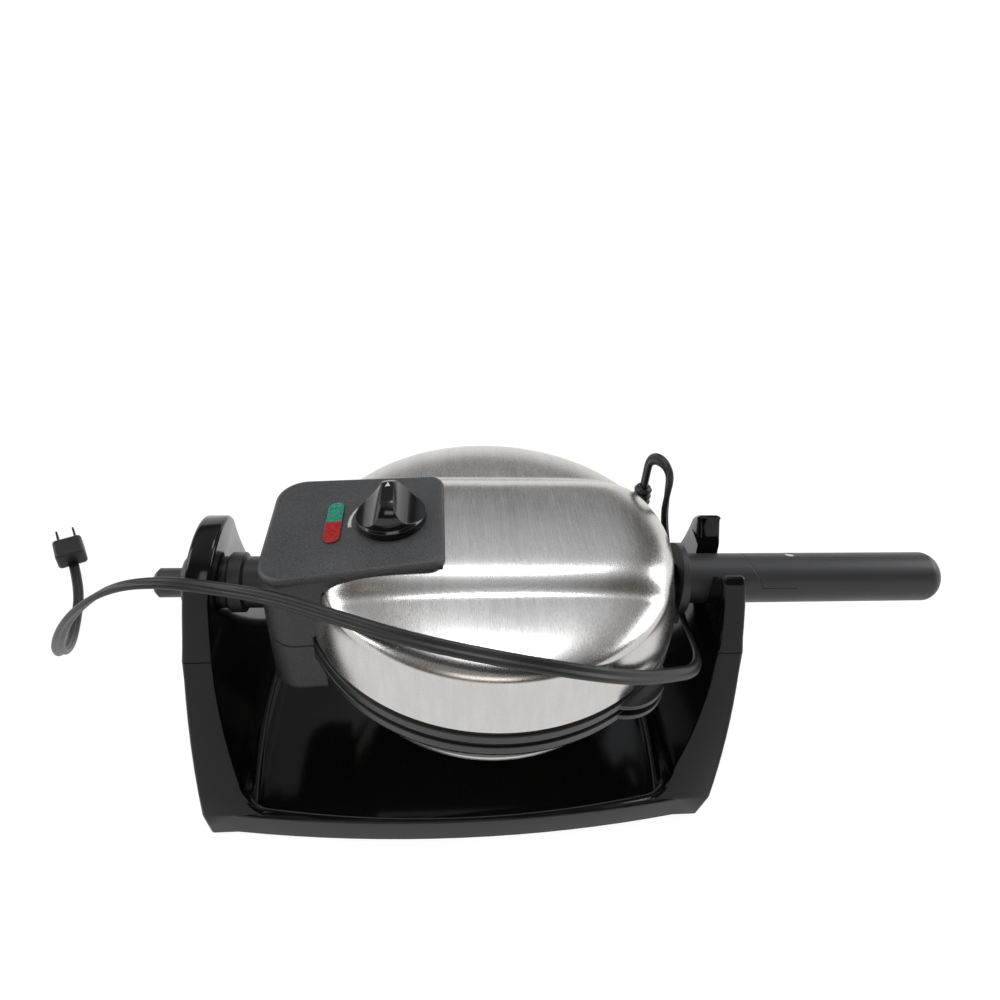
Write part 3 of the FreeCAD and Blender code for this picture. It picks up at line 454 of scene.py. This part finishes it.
def build_cord(shape):
    """Flat cord that turns its broad side up over the lid and lies flat at its far end."""
    frames = carried_frames()

    def level(share, near):
        """Turn in degrees that lays the cord flat there, closest to the turn before it."""
        way, across, up = frames[round(share * (len(frames) - 1))]
        flat = way.cross(Vector((0, 0, 1)))
        turn = math.degrees(math.atan2(flat.dot(up), flat.dot(across)))
        return turn + 180 * round((near - turn) / 180)

    end = level(1.0, OVER_LID)
    twists = [(0.0, 0), (0.06, 0), (0.2, level(0.2, 0)), (0.4, OVER_LID), (0.7, OVER_LID), (0.86, end),
              (1.0, end)]
    rings = []
    for i, (spot, (way, across, up)) in enumerate(zip(path, frames)):
        share = i / (len(path) - 1)
        for (first, low), (last, high) in zip(twists, twists[1:]):
            if first <= share <= last:
                turn = math.radians(low + (high - low) * (share - first) / (last - first))
        flat = across * math.cos(turn) + up * math.sin(turn)
        rise = way.cross(flat)
        rings.append([shape.verts.new(spot + flat * a + rise * b) for a, b in cord_section()])
    for low, high in zip(rings, rings[1:]):
        for k in range(len(low)):
            n = (k + 1) % len(low)
            face = shape.faces.new((low[k], low[n], high[n], high[k]))
            face.smooth = True
    shape.faces.new(rings[0])
    shape.faces.new(rings[-1])


flex = piece("power_cord_flat", build_cord, None, LOOKS["cord_rubber"])
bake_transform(flex)
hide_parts("power_cord")


# Ribbed boot where the cord leaves the grill
boot_low, boot_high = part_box("strain_relief")
BOOT_RADIUS = (boot_high.x - boot_low.x) / 2
BOOT_RIBS = 8
RIB_STEPS = 8


def build_boot(shape):
    """Turned sleeve with rounded ribs, drawn in a little towards the cord."""
    middle = (boot_low + boot_high) / 2
    tall = boot_high.z - boot_low.z
    verts = [shape.verts.new((middle.x, middle.y, boot_low.z))]
    for k in range(BOOT_RIBS * RIB_STEPS + 1):
        share = k / (BOOT_RIBS * RIB_STEPS)
        wave = 0.5 - 0.5 * math.cos(math.tau * share * BOOT_RIBS)
        radius = BOOT_RADIUS * (1 - 0.12 * share) * (0.80 + 0.20 * wave)
        verts.append(shape.verts.new((middle.x + radius, middle.y, boot_low.z + tall * share)))
    verts.append(shape.verts.new((middle.x, middle.y, boot_high.z)))
    edges = [shape.edges.new(pair) for pair in zip(verts, verts[1:])]
    bmesh.ops.spin(shape, geom=verts + edges, cent=middle, axis=(0, 0, 1), angle=math.tau, steps=40,
                   use_merge=True)
    bmesh.ops.remove_doubles(shape, verts=shape.verts, dist=0.000001)
    for face in shape.faces:
        face.smooth = True


boot = piece("strain_relief_boot", build_boot, "grill", LOOKS["cord_rubber"])
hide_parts("strain_relief")


# Marks on the panel and the dial
KNOB_TOP = 19.03


def panel_frame(x, y, up):
    return Matrix.Translation(panel_at(x, y, up)) @ Matrix.Rotation(-SLOPE, 4, "Y")


def flat_strip(shape, matrix, spots):
    """Thin plate with the given outline in millimetres, on the panel."""
    verts = [shape.verts.new(matrix @ Vector((x / 1000, y / 1000, 0))) for x, y in spots]
    face = shape.faces.new(verts)
    rise = bmesh.ops.extrude_face_region(shape, geom=[face])["geom"]
    lift = matrix.to_3x3() @ Vector((0, 0, 0.00008))
    bmesh.ops.translate(shape, verts=[v for v in rise if isinstance(v, bmesh.types.BMVert)], vec=lift)


def build_scale(shape):
    """Wedge that widens round the dial."""
    matrix = panel_frame(DIAL_X, 0, 0.02)
    inner, outer, steps = 22.3, 22.7, 16
    first, last = math.radians(128), math.radians(192)
    near, far = [], []
    for k in range(steps + 1):
        turn = first + (last - first) * k / steps
        wide = outer + 1.7 * k / steps
        near.append((inner * math.cos(turn), inner * math.sin(turn)))
        far.append((wide * math.cos(turn), wide * math.sin(turn)))
    for a, b, c, d in zip(near, near[1:], far[1:], far):
        flat_strip(shape, matrix, (a, b, c, d))


def build_pointer(shape):
    """Triangle on the top of the knob."""
    matrix = panel_frame(DIAL_X, 0, KNOB_TOP)
    flat_strip(shape, matrix, ((-1.5, 4.6), (1.5, 4.6), (0, 8.6)))


piece("dial_scale", build_scale, "lid", PRINT)
piece("dial_pointer", build_pointer, "knob", PRINT)

# Camera fitted to the photo
camera = bpy.data.objects.new("camera", bpy.data.cameras.new("camera"))
bpy.context.scene.collection.objects.link(camera)
pitch, yaw, roll = 0.63924314, -0.11587256, -0.07097512
right = Vector((math.cos(yaw), math.sin(yaw), 0))
ahead = Vector((-math.sin(yaw) * math.cos(pitch), math.cos(yaw) * math.cos(pitch), -math.sin(pitch)))
down = ahead.cross(right)
side = right * math.cos(roll) + down * math.sin(roll)
drop = down * math.cos(roll) - right * math.sin(roll)
turn = Matrix((side, -drop, -ahead)).transposed().to_4x4()
camera.matrix_world = Matrix.Translation(at(-35.534, -317.05, 297.309)) @ turn
camera.data.sensor_width = 36
camera.data.lens = 25.92
camera.data.clip_start = 0.01
scene = bpy.context.scene
scene.camera = camera
scene.render.resolution_x = 1000
scene.render.resolution_y = 1000
scene.view_settings.view_transform = "Standard"

# Wide floor and backdrop, white to the camera and in reflections, with a faint shadow
FLOOR_HALF = 12
BACKDROP_TALL = 5.2
floor_mesh = bpy.data.meshes.new("floor")
corners = [(x * FLOOR_HALF, y * FLOOR_HALF, z) for z in (0, BACKDROP_TALL)
           for x, y in ((-1, -1), (1, -1), (1, 1), (-1, 1))]
walls = [(k, (k + 1) % 4, (k + 1) % 4 + 4, k + 4) for k in range(4)]
floor_mesh.from_pydata(corners, [], [(0, 1, 2, 3), *walls])
floor = bpy.data.objects.new("floor", floor_mesh)
scene.collection.objects.link(floor)
paint = Paint("floor_white")
seen = paint.add("LightPath", out="Is Camera Ray")
for ray in ("Is Glossy Ray", "Is Transmission Ray"):
    seen = seen.maths("MAXIMUM", paint.add("LightPath", out=ray))
grain = paint.noise(60.0, 3.0)
paint.set(Base_Color=paint.mix(grain, (0.14, 0.112, 0.094), (0.18, 0.145, 0.12)), Roughness=0.7)
glow = paint.add("Emission", {"Color": (1, 1, 1), "Strength": 1.12})
matte = paint.add("BsdfDiffuse", {"Color": (0.9, 0.9, 0.9)})
floor_spot = paint.add("TexCoord", out="Object")
floor_x = paint.add("SeparateXYZ", {0: floor_spot}, out="X")
floor_y = paint.add("SeparateXYZ", {0: floor_spot}, out="Y")
far = (floor_x * floor_x + floor_y * floor_y).step(0.25, 1.0)
white = paint.add("MixShader", {0: far * 0.15 + 0.85, 1: matte, 2: glow})
whole = paint.add("MixShader", {0: seen, 1: Value(paint, paint.shader.outputs[0]), 2: white})
paint.feed(paint.tree.nodes["Material Output"].inputs["Surface"], whole)
floor_mesh.materials.append(paint.material)

# Room light: a bright ceiling that begins above the far wall, dim and warm towards the front
world = bpy.data.worlds.new("room")
scene.world = world
world.use_nodes = True
sky = Paint("room", world.node_tree)
coord = sky.add("TexCoord", out="Generated")
up = sky.add("SeparateXYZ", {0: coord}, out="Z")
back = sky.add("SeparateXYZ", {0: coord}, out="Y")
across = sky.add("SeparateXYZ", {0: coord}, out="X") - 0.12
over = (up + back * 0.35).step(0.76, 1.0)
lamp_side = 1 - (across * across).step(0.015, 0.06)
dim_side = sky.mix(back.step(-0.6, 0.5), (0.075, 0.058, 0.047), (0.08, 0.078, 0.075))
flank = (across * across).step(0.15, 0.45)
ceiling = sky.mix(lamp_side, sky.mix(flank, (0.42, 0.42, 0.43), (0.85, 0.86, 0.88)), (0.78, 0.81, 0.86))
light = sky.mix(over, dim_side, ceiling)
ground = world.node_tree.nodes["Background"]
sky.feed(ground.inputs["Color"], light)


def softbox(name, spot, look, size, power, colour=(1, 1, 1)):
    lamp = bpy.data.lights.new(name, "AREA")
    lamp.shape = "RECTANGLE"
    lamp.size, lamp.size_y = size
    lamp.energy = power
    lamp.color = colour
    thing = bpy.data.objects.new(name, lamp)
    scene.collection.objects.link(thing)
    thing.location = spot
    thing.rotation_euler = (Vector(look) - Vector(spot)).to_track_quat("-Z", "Y").to_euler()


softbox("window", (0.05, 0.40, 1.5), CENTRE, (0.5, 0.4), 5, (0.97, 0.98, 1.0))
softbox("right_window", (1.35, 0.25, 1.0), CENTRE, (0.7, 0.7), 10, (0.96, 0.98, 1.0))
softbox("left_window", (-1.4, 0.10, 1.1), CENTRE, (0.7, 0.7), 10, (0.96, 0.98, 1.0))
softbox("front_fill", (-0.2, -1.2, 1.6), CENTRE, (0.9, 0.5), 4, (1.0, 0.97, 0.93))
